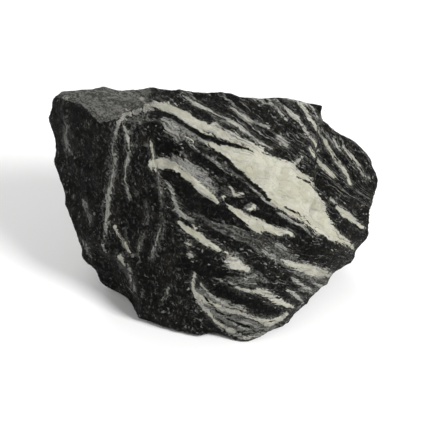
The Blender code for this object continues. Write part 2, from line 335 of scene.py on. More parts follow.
# ---- The pattern ----
# Paths of the marks that the picture shows, read off: places and half widths in its pixels.
# A light vein or a grey band begins with its tone.
lightVeinsAndHighlights = [  # tones from grey, 0, to the palest cream, 1
    (0.90, (126, 99, 1.0), (129, 98, 1.5), (134, 99.5, 1.9), (140, 102.5, 2.2), (147, 106.5, 2.4),
     (152, 109, 2.3), (158, 111.5, 2.1), (165, 113.5, 2.0), (170, 116, 2.0), (176, 119, 2.0)),
    (0.95, (153.5, 108, 0.5), (156, 106.6, 0.9), (158.5, 109, 0.6)),
    (1.00, (152, 115.5, 0.7), (154, 117, 1.5), (160, 118.5, 3.0), (166, 121.5, 4.5), (175, 126, 7.0),
     (185, 133, 10.0), (192, 139, 9.3), (198, 145, 7.3), (203, 151, 4.0), (209, 156, 2.4),
     (217, 162, 1.0)),
    (0.50, (133, 105, 1.2), (136.5, 109.5, 2.8), (139.5, 113.5, 1.4)),
    (0.90, (142.5, 112.6, 0.7), (146.5, 115.4, 0.8)),
    (0.95, (129.5, 124.5, 2.4), (133, 124.6, 2.6), (137, 125.6, 1.9), (141, 128.3, 1.6),
     (147, 133, 1.7), (152, 137.3, 2.0), (157, 142, 1.1)),
    (0.85, (127.6, 115, 0.4), (128.8, 121, 0.7), (130, 128, 0.7)),
    (0.92, (160, 139.5, 0.8), (163, 143, 2.0), (167, 149, 3.8), (175, 152, 3.3), (183, 154, 2.0),
     (190, 156, 0.7)),
    (0.80, (163, 135, 0.6), (165, 139, 0.9), (168, 138, 0.7)),
    (0.80, (171.5, 145, 0.9), (174, 142, 0.7)),
    (0.50, (134, 131, 0.8), (137, 137, 0.8), (139, 143, 0.9), (141, 147, 1.1), (146.5, 149.5, 0.8)),
    (1.00, (140.5, 150.5, 0.8), (142, 152, 1.6), (146.5, 155, 1.9), (151, 159, 1.5),
     (156.5, 162, 0.9), (162, 164.4, 0.4)),
    (0.85, (143.6, 159.8, 1.2), (144.4, 160.2, 1.2)),
    (0.60, (144.6, 165.2, 1.2), (145.4, 165.8, 1.2)),
    (0.65, (162, 166.6, 1.4), (166, 169, 2.9), (170, 171.4, 1.4)),
    (0.82, (185, 167, 0.4), (187, 168, 0.9), (193, 170, 1.9), (199, 172.6, 2.5), (205, 173.5, 1.6),
     (211, 175, 0.6)),
    (0.45, (199, 176.5, 0.8), (206, 181.5, 0.9)),
    (0.40, (178, 163, 1.2), (182, 165.5, 1.4)),
    (0.40, (183.5, 160.5, 1.0), (187, 162, 1.1)),
    (0.55, (190, 175.5, 0.6), (197, 180, 0.9), (203, 183, 0.5)),
    (0.60, (188, 180.5, 0.5), (191.5, 183, 0.9), (195, 186, 0.5)),
    (0.80, (165, 179.6, 0.6), (172, 181, 1.1), (179, 182.5, 1.5), (184, 185, 1.5), (190, 188.5, 0.7)),
    (0.50, (157, 175.5, 0.8), (159.5, 176.8, 0.7)),
    (0.45, (162.5, 177, 0.7), (165.5, 179.2, 0.7)),
    (0.50, (169.5, 175.8, 0.7), (174.5, 174, 0.8)),
    (0.55, (169, 185.6, 0.7), (171.5, 186.6, 0.7)),
    (0.75, (147, 173, 0.6), (146.4, 180, 0.9), (148.7, 185.5, 1.1), (152, 189, 1.1), (157, 195, 1.1),
     (164, 199, 0.9)),
    (0.80, (147.5, 182.5, 0.7), (155, 187.5, 1.1), (162, 190, 1.1), (169, 191.5, 1.3), (174, 194, 1.4),
     (180, 195.5, 1.5), (184.5, 193.5, 1.3), (188, 191.5, 0.7)),
    (0.45, (163, 200, 0.8), (170, 201.5, 1.1), (179, 200, 0.8)),
    (0.55, (149, 113.5, 0.5), (157, 119.5, 0.7), (164, 126, 0.8), (171, 133, 0.8), (177, 139, 0.7),
     (183, 144.5, 0.5)),
    (0.45, (146, 116.5, 0.5), (153, 122, 0.6), (160, 128, 0.7), (167, 133, 0.5)),
    (0.50, (183, 146.5, 0.5), (189, 149.8, 0.7), (197, 153.8, 0.6)),
    (0.70, (150, 178, 0.5), (155, 184, 0.7), (162, 188, 0.7), (170, 189.5, 0.5)),
    (0.55, (152, 186, 0.4), (158, 191, 0.6), (165, 195.5, 0.6), (172, 198.5, 0.4)),
    (0.50, (160, 186, 0.4), (168, 187.5, 0.6), (177, 188, 0.5), (184, 189.5, 0.4)),
    (0.45, (160, 193, 0.4), (168, 195, 0.6), (177, 198, 0.5)),
    # thin streaks that steepen to the right
    (0.62, (141, 93.5, 0.5), (147, 98, 0.7), (153, 101, 0.8), (161, 105, 0.8), (167, 108.5, 0.8),
     (175, 115, 0.8), (181, 118, 0.5)),
    (0.57, (163, 100, 0.5), (171, 105, 0.7), (180, 109, 0.6)),
    (0.57, (172, 94.5, 0.6), (177.5, 98.5, 0.6)),
    (0.62, (177, 94, 0.5), (184, 101, 0.7), (188, 105, 0.6)),
    (0.72, (181, 94, 0.5), (189, 102, 0.7), (195, 108, 0.8), (198, 112.5, 0.8), (202, 119, 0.6)),
    (0.72, (187, 95.5, 0.5), (194, 98, 0.7), (198, 104.5, 0.7), (203, 113, 0.6)),
    (0.62, (195, 97.5, 0.5), (199, 100, 0.6), (201.5, 105, 0.5)),
    (0.90, (198, 118.5, 0.6), (203, 125, 1.0), (209, 130.5, 0.8)),
    (0.90, (204, 114.5, 0.5), (208.5, 121, 0.8), (212.5, 127.5, 0.9), (216, 134, 0.7)),
    (0.62, (208.5, 113.5, 0.5), (211.5, 119, 0.6)),
    (0.57, (184, 113, 1.2), (188, 116.6, 1.1)),
    (0.72, (191, 125, 0.9), (194.5, 122, 0.7)),
    (0.67, (213, 117, 0.5), (218, 124, 0.7), (223, 132, 0.5)),
    (0.82, (207, 140, 0.6), (214, 147, 1.4), (221, 153, 0.8)),
    # the knot at the hinge and the fine veins of the left face
    (0.65, (112.5, 107.5, 0.9), (114.5, 104.8, 1.6), (117, 103, 1.4), (122, 101.6, 1.2),
     (128.5, 99.4, 1.4)),
    (0.32, (113, 108, 0.6), (111, 116, 0.7), (111.5, 124, 0.7), (110.3, 131, 0.7)),
    (0.58, (111, 129, 0.5), (110, 135, 0.8), (108.5, 142, 1.1), (108.2, 150, 1.2), (107.6, 155, 0.9),
     (106, 160.5, 0.8), (107, 163.5, 0.4)),
    (0.62, (115.5, 107.5, 0.6), (117.6, 111, 0.8), (118, 116, 0.8)),
    (0.40, (118, 115, 0.8), (117.6, 121, 0.7), (116.4, 127, 0.6), (116.6, 134.5, 0.6),
     (118.2, 140.5, 0.4)),
    (0.95, (111.4, 153, 0.5), (115.4, 159.7, 0.8), (118.3, 164, 0.5)),
    (0.80, (113, 166, 0.7), (116, 169, 0.7)),
    (0.30, (117, 170, 0.7), (119, 176, 1.0), (120, 181, 0.7)),
    (0.28, (131, 129, 0.5), (131.7, 138, 0.7), (133, 144, 0.5)),
    (0.32, (131.8, 152, 0.5), (130, 159.7, 0.7), (127.8, 167, 0.5)),
    (0.18, (126, 142, 0.6), (126.2, 151, 0.6)),
    (0.18, (125, 155, 0.6), (122.3, 163, 0.6)),
    (0.40, (135.6, 179.5, 0.6), (134.6, 182, 0.9), (132.6, 186, 0.6)),
    (0.30, (90.5, 108, 0.7), (90, 113, 0.8), (91.2, 119, 0.6)),
    (0.25, (98, 141, 0.6), (100, 147, 0.8), (100.5, 151, 0.6)),
    (0.30, (96.5, 157, 0.6), (99, 162, 0.9), (101.5, 166.5, 0.6)),
    (0.30, (109, 180.5, 0.6), (111.2, 186, 0.7)),
    # painted highlights: two small pale spots on the top edge, where light glints
    (0.85, (89.6, 95.6, 0.9), (90.6, 96.4, 0.8)),
    (0.80, (123.6, 96.2, 0.7), (124.8, 96.8, 0.7)),
]
darkStreaksAndPitShadow = [  # across everything else
    [(130, 102, 0.9), (137, 104, 1.0), (143, 108, 1.0), (150, 112, 0.9), (158, 115.5, 0.8),
     (166, 117, 0.7), (172, 119.4, 0.5)],
    # painted shadow: a dark round spot in the pit below the top of the ridge
    [(133, 117, 3.6), (134, 117.2, 3.6)],
    [(132.5, 128.7, 0.6), (136, 128.9, 0.9), (140, 130, 0.6)],
    [(133, 129, 1.4), (140, 134, 3.0), (147, 141, 3.8), (155, 146, 3.8), (165, 149.5, 2.4),
     (171, 154, 0.8)],
    [(142, 115.5, 0.8), (149, 121.5, 1.3), (157, 128, 1.7), (166, 133.5, 1.8), (174, 140.5, 1.8),
     (181, 146.5, 1.6), (188, 151.5, 1.2), (197, 156, 0.7)],
    [(152, 116.5, 0.5), (159, 121.5, 0.8), (167, 129, 0.9), (173, 134.5, 0.9), (180, 140.5, 0.8)],
    [(162, 141, 1.8), (166.5, 142.5, 2.6), (170, 141, 1.6)],
    [(173, 146.5, 1.6), (178, 147.5, 1.8)],
    [(180, 149.5, 1.8), (187, 151.5, 1.6)],
    [(187, 144, 0.4), (193, 147.3, 0.7), (198, 150.6, 0.5)],
    [(192, 131, 0.3), (197, 133.2, 0.5), (201.5, 137.4, 0.4)],
    [(150, 191, 0.6), (154, 195.5, 0.9), (158.5, 199.5, 0.6)],
    [(151, 183.5, 0.3), (156, 189.5, 0.5), (163, 194, 0.6), (171, 197.2, 0.4)],
    [(162, 192, 0.3), (170, 193.6, 0.5), (177, 196, 0.3)],
    [(155, 181, 1.6), (165, 184.5, 2.0), (176, 188, 2.0), (184, 190, 1.0)],
    [(141, 168, 1.6), (150, 172, 2.6), (160, 174, 1.8)],
]
greyBands = [  # softer, under the light veins; tones from slate, 0, to pale grey, 1
    (0.80, (137, 122, 1.2), (143, 125.5, 2.8), (150, 131, 3.4), (156, 136.5, 2.0)),
    (0.60, (133, 104, 0.8), (141, 108.5, 1.4), (149, 113, 1.6), (157, 116.5, 1.0)),
    (0.35, (113, 104.5, 1.2), (119, 105.5, 2.0), (125, 104, 1.8)),
    (0.60, (135, 106, 1.4), (141, 112, 2.8), (146, 117.5, 1.5)),
    (0.22, (149, 145, 3.5), (160, 151, 5.0), (172, 157, 4.0), (182, 161, 2.0)),
    (0.45, (176, 160, 1.8), (184, 163.5, 2.4), (192, 166, 1.3)),
    (0.75, (155, 116, 1.2), (163, 121, 3.2), (170, 128, 3.2), (175, 133, 1.5)),
    (0.50, (183, 166.5, 1.6), (194, 171, 4.0), (206, 175, 3.8), (213, 176, 1.4)),
    (0.45, (195, 179.5, 1.8), (204, 183, 2.0), (210, 184, 1.0)),
    (0.50, (149, 181, 2.2), (157, 189, 4.2), (168, 195, 4.4), (181, 198, 2.6)),
    (0.45, (179, 147, 0.8), (190, 152, 1.5), (201, 156.5, 1.0)),
    (0.30, (160, 136, 1.5), (166, 141, 2.6), (173, 145, 2.0)),
    (0.35, (158, 175, 1.6), (168, 177.5, 1.8), (178, 176, 1.4)),
    (0.45, (164, 168, 3.6), (170, 172, 2.6)),
    (0.30, (112.5, 108, 1.2), (110.5, 118, 1.7), (110, 130, 1.8), (108.3, 142, 2.0),
     (107, 158, 1.3)),
    (0.25, (117, 110, 1.1), (118, 121, 1.3), (116.8, 136, 1.1)),
    (0.20, (131, 128, 0.9), (131.8, 136, 1.3), (133, 144, 0.9)),
    (0.20, (112, 164, 1.5), (117, 172, 1.9), (120, 181, 1.5)),
    (0.15, (133, 150, 0.9), (131, 160, 1.2), (128, 168, 0.9)),
    (0.15, (90, 104, 1.2), (89.5, 112, 1.5), (91, 120, 1.0)),
]
greyZones = [  # pixels of the middle, half lengths along and across the layers, how grey
    (150, 130, 12, 7, 0.55), (141, 117, 6, 4, 0.35), (163, 158, 13, 6, 0.50), (195, 122, 6, 5, 0.35),
    (164, 194, 15, 7, 0.75), (149, 184, 5, 9, 0.45), (146, 148, 8, 5, 0.30), (186, 163, 9, 4, 0.35),
    (201, 178, 9, 5, 0.40), (171, 134, 6, 4, 0.20), (216, 150, 9, 6, 0.30),
]
pattern = {
    "ridgeX": (126, 128, 131, 140, 147, 149),  # the ridge that parts the left face from the right
    "ridgeY": (99, 107, 135, 165, 199, 206),
    "hingeX": (80, 88, 97, 105, 113, 120, 128),  # the top of the left face
    "hingeY": (94, 96, 99, 107, 105, 101, 98),
    "layerDrop": 0.62,  # how fast the layers fall to the right
    "upperBend": 0.008,
    "upperStreaks": (38, 52),  # mm up the layers, where the light streaks begin and are in full
    "lowerBend": 0.5,
    "alongDrop": 0.8,
    "leftDrop": 0.05,  # of the layers that stand upright on the left face
    "leftReach": 14.0,  # mm that the left face ends inside the side that isn't seen
    "farOff": -9.0,  # pixels inside a mark, where there is none near
    "hiddenDustAndTopLight": 0.35,
    "greyDirection": (0.85, 0.53),
    # noises
    "wave": (1.6, 26.0, 2, 71),
    "hiddenWave": (7.0, 45.0, 2, 75),
    "leftWave": (1.2, 11.0, 1, 77),
    "leftEnd": (0.9, 20.0, 2, 79),
    "wobbleX": (0.5, 5.0, 1, 81),
    "wobbleY": (0.5, 5.0, 1, 82),
    "hiddenGrey": (0.45, 38.0, 2, 91),
    "hiddenStreaks": (0.6, 30.0, 1, 93),
    "pods": {"count": 70, "halfThickness": (0.8, 4.6), "thinning": (0.35, 1.0),
             "halfLength": (10.0, 42.0), "sideways": 0.7, "tone": (0.35, 1.0), "halo": 1.0,
             "veinWidth": 2.0, "bandTone": 0.6, "seed": 61},
    # rounds of smoothing, and the height in mm that is convex or hollow in full
    "convexEdge": (1, 0.25),
    "hollow": (12, 0.06),
}


def inPicture(points):
    # across and up from the camera's axis in picture pixels, and depth past the aim in mm
    rise = np.radians(seen["rise"])
    forward = np.array([0.0, np.cos(rise), -np.sin(rise)])
    upward = np.array([0.0, np.sin(rise), np.cos(rise)])
    eye = np.array(seen["aim"]) - seen["distance"] * forward
    offset = points * 0.001 - eye
    depth = offset @ forward
    x = seen["pixels"] * offset[:, 0] / depth
    y = seen["pixels"] * (offset @ upward) / depth
    return x, y, (depth - seen["distance"]) * 1000, offset


def strokeDepth(x, y, path):
    # half width at the nearest place of the path, less the distance to it; and that half width
    best, width = np.full(len(x), -99.0), np.zeros(len(x))
    for (ax, ay, aw), (bx, by, bw) in zip(path[:-1], path[1:]):
        alongX, alongY = bx - ax, by - ay
        part = ((x - ax) * alongX + (y - ay) * alongY) / (alongX**2 + alongY**2)
        part = np.clip(part, 0.0, 1.0)
        away = np.hypot(x - ax - part * alongX, y - ay - part * alongY)
        half = aw + part * (bw - aw)
        width = np.where(half - away > best, half, width)
        best = np.maximum(best, half - away)
    return best, width


def blendMarks(marks, count):
    # the greatest depth in any mark, and the means of tone and half width over the marks near, each
    # of which weighs exp(2 depth)
    deepest = np.full(count, pattern["farOff"])
    tone, wide, weight = np.zeros(count), np.zeros(count), np.full(count, 1e-9)
    for depth, width, shade in marks:
        deepest = np.maximum(deepest, depth)
        share = np.exp(np.clip(2.0 * depth, -30, 8))
        tone += share * shade
        wide += share * width
        weight += share
    return deepest, tone / weight, wide / weight


def paintStrokes(x, y, strokes):
    return blendMarks(((*strokeDepth(x, y, path), shade) for shade, *path in strokes), len(x))


def hiddenPods(layer, along, deep, hidden):
    # flat pods of pale stone on the sides that the picture doesn't show: a point is
    # thickness * (1 - sqrt(across^2 + lengthwise^2 + sideways^2)) inside its pod
    pods = pattern["pods"]
    random = np.random.default_rng(pods["seed"])
    for middle in random.choice(np.flatnonzero(hidden > 0.6), pods["count"], replace=False):
        thick = random.uniform(*pods["halfThickness"]) * random.uniform(*pods["thinning"])
        length = random.uniform(*pods["halfLength"])
        shade = random.uniform(*pods["tone"])
        across = (layer - layer[middle]) / thick
        lengthwise = (along - along[middle]) / length
        sideways = (deep - deep[middle]) / (pods["sideways"] * length)
        yield thick * (1 - np.sqrt(across**2 + lengthwise**2 + sideways**2)), thick, shade


def greyAmount(px, py):
    # the sum of amount * exp(-(u / length)^2 - (v / width)^2), u along the layers and v across
    alongX, alongY = pattern["greyDirection"]
    total = np.zeros(len(px))
    for mx, my, length, width, amount in greyZones:
        u = (px - mx) * alongX + (py - my) * alongY
        v = (py - my) * alongX - (px - mx) * alongY
        total += amount * np.exp(-((u / length) ** 2) - (v / width) ** 2)
    return total


def layerField(x, y, lowerBend):
    # y + drop x, steeper in the upper right and level at the foot
    field = y + pattern["layerDrop"] * x
    field += pattern["upperBend"] * np.maximum(x - 10, 0) ** 2 * smoothStep(field, 44, 54)
    return field - lowerBend * smoothStep(-y, 10, 45) * x


def readPattern(points, normals):
    # everything the material reads, one value to a point
    def drawn(name):
        return noiseField(points, pattern[name])

    x, y, deep, offset = inPicture(points)
    px, py = x + seen["middle"][0], seen["middle"][1] - y
    front = smoothStep(-np.sum(normals * unit(offset), axis=1), 0.02, 0.30)
    hidden, pixel = 1 - front, seen["pixel"]
    waves = drawn("wave") + hidden * drawn("hiddenWave")
    layer = pixel * layerField(x, y, pattern["lowerBend"]) + waves
    along = pixel * (x - pattern["alongDrop"] * y)
    leftLayer = pixel * (x + pattern["leftDrop"] * y) + waves + drawn("leftWave")
    streaky = smoothStep(pixel * layerField(x, y, 0), *pattern["upperStreaks"])
    streaky *= smoothStep(px, 128, 142)

    ridge = np.interp(py, pattern["ridgeY"], pattern["ridgeX"]) - px
    hinge = py - np.interp(px, pattern["hingeX"], pattern["hingeY"])
    turned = hidden * (1 + drawn("leftEnd"))
    leftFace = pixel * np.minimum(ridge, hinge) - pattern["leftReach"] * smoothStep(turned, 0.2, 1.0)
    # dust and painted light from above: grey on the top facet over the left face, and on the hidden
    # sides where the faces look up
    dust = smoothStep(-hinge, -1.0, 1.5) * smoothStep(ridge, -6.0, 3.0) * front
    hiddenDustAndTopLight = pattern["hiddenDustAndTopLight"] * smoothStep(normals[:, 2], 0.75, 0.97) * hidden

    wx, wy = px + drawn("wobbleX"), py + drawn("wobbleY")
    veinAndHighlight, tone, width = paintStrokes(wx, wy, lightVeinsAndHighlights)
    band, bandTone = paintStrokes(wx, wy, greyBands)[:2]
    dark = np.full(len(points), pattern["farOff"])
    for path in darkStreaksAndPitShadow:
        dark = np.maximum(dark, strokeDepth(wx, wy, path)[0])
    pods = pattern["pods"]
    pod, podTone = blendMarks(hiddenPods(layer, along, deep, hidden), len(points))[:2]
    grey = front * greyAmount(px, py) + hidden * (0.3 + drawn("hiddenGrey"))
    return {
        "layer": layer,
        "along": along,
        "deep": deep,
        "leftLayer": leftLayer,
        "leftAlong": pixel * y,
        "leftFace": leftFace,
        "veinAndHighlight": np.clip(front * pixel * veinAndHighlight + hidden * pod, -6, 12),
        "veinTone": front * tone + hidden * podTone,
        "veinWidth": front * pixel * width + hidden * pods["veinWidth"],
        "band": np.clip(front * pixel * band + hidden * (pod + pods["halo"]), -6, 12),
        "bandTone": front * bandTone + hidden * pods["bandTone"] * podTone,
        "dark": np.clip(pixel * (front * dark - hidden * 4), -6, 6),
        "grey": np.clip(grey, 0, 1),
        "streaky": np.clip(front * streaky + hidden * (0.4 + drawn("hiddenStreaks")), 0, 1),
        "dust": np.clip(np.maximum(dust, hiddenDustAndTopLight), 0, 1),
    }


def fineRelief(points, fields, convex):
    # thin layers broken off like saw teeth, grit, nicks in the sharp edges, and veins and painted
    # highlight spots left proud
    thin, proud = form["thinLayers"], form["proudVeins"]
    wander = noiseField(points, thin["wander"])
    body = sawTooth(fields["layer"] / thin["spacing"] + wander, thin["break"])
    left = sawTooth(fields["leftLayer"] / thin["leftSpacing"] + wander, thin["break"])
    share = smoothStep(fields["leftFace"], -1.0, 1.0)
    relief = thin["height"] * patchyStrength(points, thin) * ((1 - share) * body + share * left)
    onVein = smoothStep(fields["veinAndHighlight"], -0.3, 1.2)
    relief *= 1 - proud["hidesLayers"] * onVein
    relief += noiseField(points, form["grit"]) * (1 - proud["hidesGrit"] * onVein)
    relief -= np.maximum(noiseField(points, form["nicks"]), 0) * smoothStep(convex, 0.05, 0.35)
    return relief + proud["height"] * onVein


def addObject(name, data):
    made = bpy.data.objects.new(name, data)
    bpy.context.scene.collection.objects.link(made)
    return made


def makeStone():
    cube, faces = cubeGrid()
    directions, radius, smallRelief, heart = coarseForm(cube)
    print("stone: form", len(faces), "quads")
    box = [np.array(corner) * 1000 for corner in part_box("rock")]
    wanted = 0.5 * (box[0] + box[1])

    def placed(radius):
        # nothing reaches under the ground: heart height / downward part of the direction
        down = np.maximum(-directions[:, 2], 1e-3)
        return heart + directions * np.minimum(radius, heart[2] / down)[:, None]

    rough = placed(radius)
    shift = wanted - 0.5 * (rough.min(axis=0) + rough.max(axis=0))
    shift[2] = 0.0
    radius = radius + smallRelief
    points = placed(radius) + shift
    normals = pointNormals(points, faces)
    fields = readPattern(points, normals)
    print("stone: pattern", len(fields), "fields")
    convex = convexity(points, normals, faces, form["nickRounds"])
    points = placed(radius + fineRelief(points, fields, convex)) + shift
    points[:, 2] = np.maximum(points[:, 2], 0.0)
    normals = pointNormals(points, faces)
    # convex edges, for pale bruises and painted highlights; hollows, for painted shade
    for name, sign in (("convexEdge", 1), ("hollow", -1)):
        rounds, height = pattern[name]
        fields[name] = np.clip(sign * convexity(points, normals, faces, rounds) / height, -1, 1)

    mesh = bpy.data.meshes.new("bandedRock")
    mesh.from_pydata((points * 0.001).tolist(), [], faces.tolist())
    mesh.shade_smooth()
    for name, values in fields.items():
        made = mesh.attributes.new(name, "FLOAT", "POINT")
        made.data.foreach_set("value", values.astype(np.float32))
    mesh.validate()
    return addObject("bandedRock", mesh)


# ---- Materials ----
class Value:
    # one output of a node, and what is worked out from it by further nodes
    def __init__(self, nodes, socket):
        self.nodes, self.socket = nodes, socket

    def __add__(self, other):
        return self.nodes.maths("ADD", self, other)

    def __mul__(self, other):
        return self.nodes.maths("MULTIPLY", self, other)

    def centred(self, height):
        # from 0 to 1 made to lie about 0, and so high
        return (self + -0.5) * height

    def step(self, low, high, first=0.0, last=1.0):
        # a smooth step from first to last as the value goes from low to high
        return self.nodes.add("ShaderNodeMapRange", {"Value": self, "From Min": low, "From Max": high,
                                                     "To Min": first, "To Max": last},
                              interpolation_type="SMOOTHSTEP")

    def between(self, first, second):
        # a number from first, where the value is 0, to second, where it is 1
        return self.nodes.add("ShaderNodeMix", {0: self, 2: first, 3: second})

    def mix(self, first, second):
        # the same with colours
        return self.nodes.add("ShaderNodeMix", {0: self, 6: first, 7: second}, 2, data_type="RGBA")


class Nodes:
    # adds nodes to one tree and links them; what goes in is a Value, a number or a colour
    def __init__(self, tree):
        self.tree = tree

    def feed(self, made, inputs):
        for name, given in inputs.items():
            if isinstance(given, Value):
                self.tree.links.new(given.socket, made.inputs[name])
            else:
                made.inputs[name].default_value = given

    def add(self, kind, inputs, output=0, **settings):
        made = self.tree.nodes.new(kind)
        for name, setting in settings.items():
            setattr(made, name, setting)
        self.feed(made, inputs)
        return Value(self, made.outputs[output]) if made.outputs else made

    def maths(self, operation, *given):
        return self.add("ShaderNodeMath", dict(enumerate(given)), operation=operation)

    def vectors(self, operation, *given, output="Vector"):
        return self.add("ShaderNodeVectorMath", dict(enumerate(given)), output, operation=operation)

    def field(self, name):
        return self.add("ShaderNodeAttribute", {}, "Fac", attribute_name=name)

    def triple(self, x, y, z):
        return self.add("ShaderNodeCombineXYZ", {"X": x, "Y": y, "Z": z})

    def noise(self, vector, scale, detail, roughness=0.55):
        return self.add("ShaderNodeTexNoise", {"Vector": vector, "Scale": scale, "Detail": detail,
                                               "Roughness": roughness}, "Fac")

    def cells(self, vector, output="Color"):
        return self.add("ShaderNodeTexVoronoi", {"Vector": vector, "Scale": 1.0}, output)


def streakGroup():
    # streaks that lie in the layers: noise pressed thin across them and drawn out along them
    group = bpy.data.node_groups.new("layerStreaks", "ShaderNodeTree")
    for name, value in (("Across", 0.0), ("Along", 0.0), ("Deep", 0.0), ("Spacing", 2.0),
                        ("Length", 20.0), ("Amount", 0.5), ("Softness", 0.05)):
        made = group.interface.new_socket(name, in_out="INPUT", socket_type="NodeSocketFloat")
        made.default_value = value
    for name in ("Mask", "Grain"):
        group.interface.new_socket(name, in_out="OUTPUT", socket_type="NodeSocketFloat")
    nodes = Nodes(group)
    sockets = group.nodes.new("NodeGroupInput").outputs[:7]
    across, along, deep, spacing, length, amount, softness = (Value(nodes, one) for one in sockets)
    grain = nodes.noise(nodes.vectors("DIVIDE", nodes.triple(across, along, deep),
                                      nodes.triple(spacing, length, length)), 1.0, 4.0, 0.62)
    low = amount * -0.3 + 0.72
    nodes.add("NodeGroupOutput", {"Mask": grain.step(low, low + softness), "Grain": grain})
    return group


finish = {
    "black": (0.0024, 0.0026, 0.0025, 1),
    "charcoal": (0.0085, 0.0087, 0.0080, 1),
    "brown": (0.014, 0.0118, 0.0088, 1),
    "slate": (0.048, 0.048, 0.044, 1),
    "grey": (0.125, 0.125, 0.116, 1),
    "paleGrey": (0.25, 0.25, 0.232, 1),
    "cream": (0.35, 0.342, 0.268, 1),
    "white": (0.41, 0.405, 0.342, 1),
    "peach": (0.43, 0.37, 0.29, 1),
    "moss": (0.33, 0.34, 0.25, 1),
    # dust grey, which also paints the light from above on the top faces
    "dust": (0.155, 0.155, 0.142, 1),
    "specular": 0.03,
    "noises": {  # how many to a mm, detail, roughness
        "drift": (0.07, 2.0, 0.5), "ripple": (0.28, 3.0, 0.6), "grain": (0.9, 5.0, 0.68),
        "patchy": (0.3, 4.0, 0.65), "settled": (0.42, 4.0, 0.7), "brown": (0.16, 3.0),
        "speckle": (0.48, 5.0, 0.76), "mottle": (0.6, 4.0, 0.72), "broken": (0.4, 4.0, 0.65),
        "glintSpecks": (0.22, 3.0), "tint": (0.10, 3.0, 0.6), "moss": (0.21, 3.0), "veil": (0.13, 2.0),
        "rough": (1.3, 5.0, 0.72), "pits": (0.7, 3.0, 0.6),
    },
    "streaks": {  # mm across the layers and along them
        "broad": (2.3, 36.0), "thin": (0.95, 22.0), "lenses": (3.2, 10.0), "fray": (1.1, 14.0),
        "wideFray": (2.6, 18.0), "lines": (1.2, 24.0),
    },
    "drift": 9.0,  # mm that the layers wander, and ripple
    "ripple": 3.2,
    "fray": {"fine": 4.4, "wide": 2.6, "grain": 1.9, "left": 1.25},  # mm; times more on the left
    "crystals": (1.6, 0.67),  # how many to a mm across the layers and along them
    "heights": {"rough": 0.62, "thin": 0.60, "broad": 0.9, "pits": 0.35, "crystals": 0.07},  # mm
    "flake": 4.2,  # mm across the small broken facets
    "flakeHeight": 2.31,  # mm to a facet's width at a tilt of 1
    "veinRoughness": 0.6,  # of the dark stone's
}


class StoneNodes(Nodes):
    # the places, noises, streaks and masks that the stone's colours share
    def __init__(self, tree):
        super().__init__(tree)
        self.streaks = streakGroup()
        place = self.add("ShaderNodeTexCoord", {}, "Object")
        self.place = self.add("ShaderNodeMapping", {"Vector": place, "Scale": (1000, 1000, 1000)})
        self.grey, self.streaky = self.field("grey"), self.field("streaky")
        self.dust, self.stored = self.field("dust"), self.field("veinAndHighlight")

        # across and along the layers: upright on the left face, falling to the right on the body
        wander = self.patch("drift").centred(finish["drift"])
        wander += self.patch("ripple").centred(finish["ripple"])
        self.left = (self.field("leftFace") + wander * 0.5).step(-0.4, 0.4)
        self.layer = self.left.between(self.field("layer"), self.field("leftLayer")) + wander
        self.along = self.left.between(self.field("along"), self.field("leftAlong"))
        self.deep = self.field("deep")

        # small crystals, drawn out a little along the layers, each with a shade of its own
        across, length = finish["crystals"]
        crystal = self.cells(self.triple(self.layer * across, self.along * length,
                                         self.deep * length))
        self.shade = self.add("ShaderNodeSeparateColor", {"Color": crystal})
        self.grain = self.patch("grain")
        self.settled = self.patch("settled") * 0.5 + self.grain * 0.5
        self.patchy = self.patch("patchy").step(0.44, 0.62)
        self.speckle = self.patch("speckle").step(0.53, 0.61) * self.shade.step(0.25, 0.9, 0.3, 1.0)
        self.broad, self.broadGrain = self.streak("broad", self.streaky * 0.18 + 0.2, 0.04)
        self.thin, self.thinGrain = self.streak("thin", self.streaky * 0.08 + 0.36)

        # how far the marks' edges fray, and how deep a point lies in the pale veins and painted
        # highlights, both in mm
        fray = finish["fray"]
        self.rag = self.streak("fray")[1].centred(fray["fine"])
        self.rag += self.streak("wideFray")[1].centred(fray["wide"])
        self.rag += self.grain.centred(fray["grain"])
        self.rag *= self.left.between(1.0, fray["left"])
        calm = self.stored.step(0.5, 5.0, 1.0, 0.45)
        calm *= self.field("veinWidth").step(0.6, 2.2, 0.65, 1.7)
        self.depth = self.stored + self.rag * calm
        self.veinAndHighlight = self.depth.step(-0.15, 0.22)

    def patch(self, name):
        return self.noise(self.place, *finish["noises"][name])

    def streak(self, name, amount=0.5, softness=0.05):
        # the streaks' mask, and the noise that it is cut from
        spacing, length = finish["streaks"][name]
        given = (self.layer, self.along, self.deep, spacing, length, amount, softness)
        made = self.tree.nodes.new("ShaderNodeGroup")
        made.node_tree = self.streaks
        self.feed(made, dict(enumerate(given)))
        return Value(self, made.outputs["Mask"]), Value(self, made.outputs["Grain"])

    def paint(self, under, name, mask, body=1.0, left=None):
        # the named colour through the mask, as thickly as body says, and as left on the left face
        thick = body if left is None else self.left.between(body, left)
        return (mask * thick).mix(under, finish[name])


def shades(share, first, second):
    return share.mix(finish[first], finish[second])


def darkGround(stone):
    # black and charcoal, with brown patches, slate speckle and grey crystals
    colour = shades(stone.grain.step(0.40, 0.66), "black", "charcoal")
    colour = stone.paint(colour, "brown", stone.patch("brown").step(0.50, 0.70), 0.6)
    colour = stone.paint(colour, "slate", stone.speckle, 0.8, 1.0)
    return stone.paint(colour, "grey", stone.shade.step(0.80, 0.97) * stone.patchy, 0.6)


def greyLenses(stone, colour):
    lenses = stone.streak("lenses", stone.grey * 1.3, 0.12)[0]
    lenses *= stone.patch("mottle").step(0.38, 0.60, 0.2, 1.0)
    return stone.paint(colour, "grey", lenses, 0.9, 0.0)


def lightStreaks(stone, colour):
    light = stone.maths("MAXIMUM", stone.broad * 0.9, stone.thin * 0.7)
    broken = stone.patch("broken").step(0.38, 0.58)
    light *= stone.streaky.between(broken, broken.step(0.0, 1.0, 0.45, 1.0))
    return stone.paint(colour, "paleGrey", light * stone.shade.step(0.0, 0.6, 0.45, 1.0), 1.0, 0.3)


